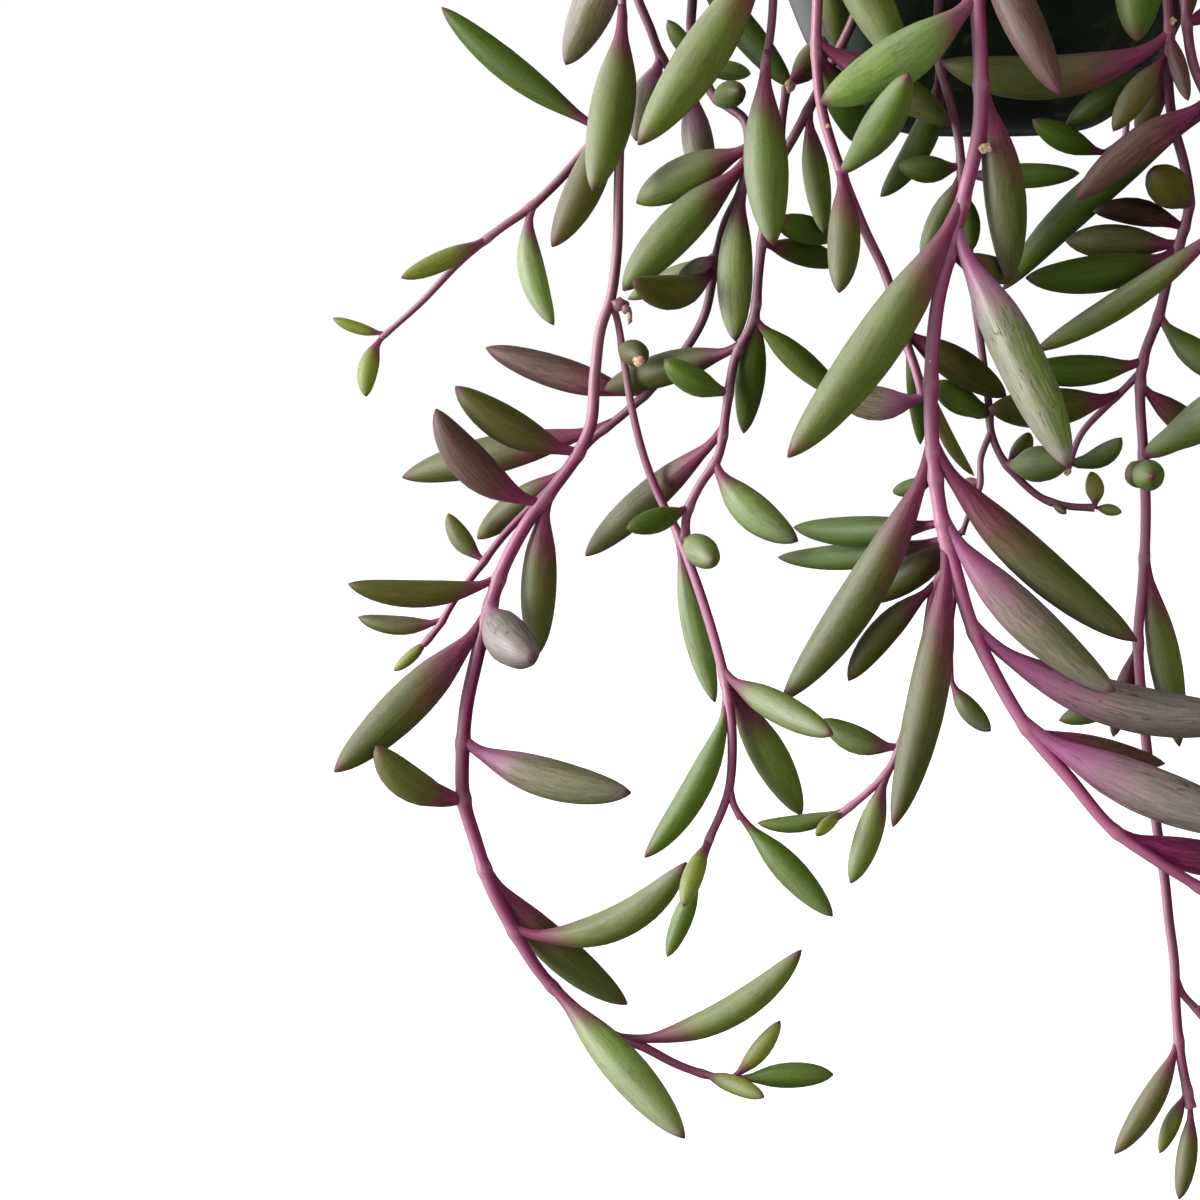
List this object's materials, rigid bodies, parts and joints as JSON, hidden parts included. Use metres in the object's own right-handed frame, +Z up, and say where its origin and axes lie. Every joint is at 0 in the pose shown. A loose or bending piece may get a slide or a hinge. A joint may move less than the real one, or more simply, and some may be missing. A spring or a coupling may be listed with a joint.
{
  "type": "hanging potted trailing succulent",
  "caption": "Hanging round-bottomed glazed bowl of soil with purple-stemmed trailing succulent, plump pointed leaves, on wires that meet in a collar with a hook.",
  "frame": {"origin": "seat of the hook, the inside top of its round bend, where the whole part hangs; the pot's foot is 0.262 m below it", "axes": "+Z up along the pot's axis; -Y towards the viewer of the pictured side; +X to that viewer's right"},
  "size_m": [0.1906, 0.1455, 0.4368],
  "materials": {
    "glaze": "gloss bottle-green glaze, nearly black",
    "soil": "crumbly potting soil of bark, coir and peat, matt",
    "steel": "drawn wire, satin",
    "leafy_stem": "waxy leaf with pale bloom, green to purple-brown, on purple-pink stem"
  },
  "bodies": {
    "root": {"hook": "steel", "pot": "glaze", "shoot_1": "leafy_stem", "shoot_2": "leafy_stem", "shoot_3": "leafy_stem", "shoot_4": "leafy_stem", "shoot_5": "leafy_stem", "soil": "soil", "stem_back_1": "leafy_stem", "stem_back_2": "leafy_stem", "stem_back_3": "leafy_stem", "stem_back_4": "leafy_stem", "stem_back_5": "leafy_stem", "stem_back_6": "leafy_stem", "stem_back_7": "leafy_stem", "stem_front": "leafy_stem", "stem_front_left": "leafy_stem", "stem_left": "leafy_stem", "stem_left_behind": "leafy_stem", "stem_left_inner": "leafy_stem", "stem_left_short": "leafy_stem", "stem_right_1": "leafy_stem", "stem_right_2": "leafy_stem", "stem_right_3": "leafy_stem", "stem_right_4": "leafy_stem", "stem_right_5": "leafy_stem", "stem_right_6": "leafy_stem", "stem_right_edge": "leafy_stem", "stem_right_front": "leafy_stem", "stem_under": "leafy_stem", "stem_under_left": "leafy_stem", "wire_back": "steel", "wire_left": "steel", "wire_right": "steel"}
  },
  "joints": []
}
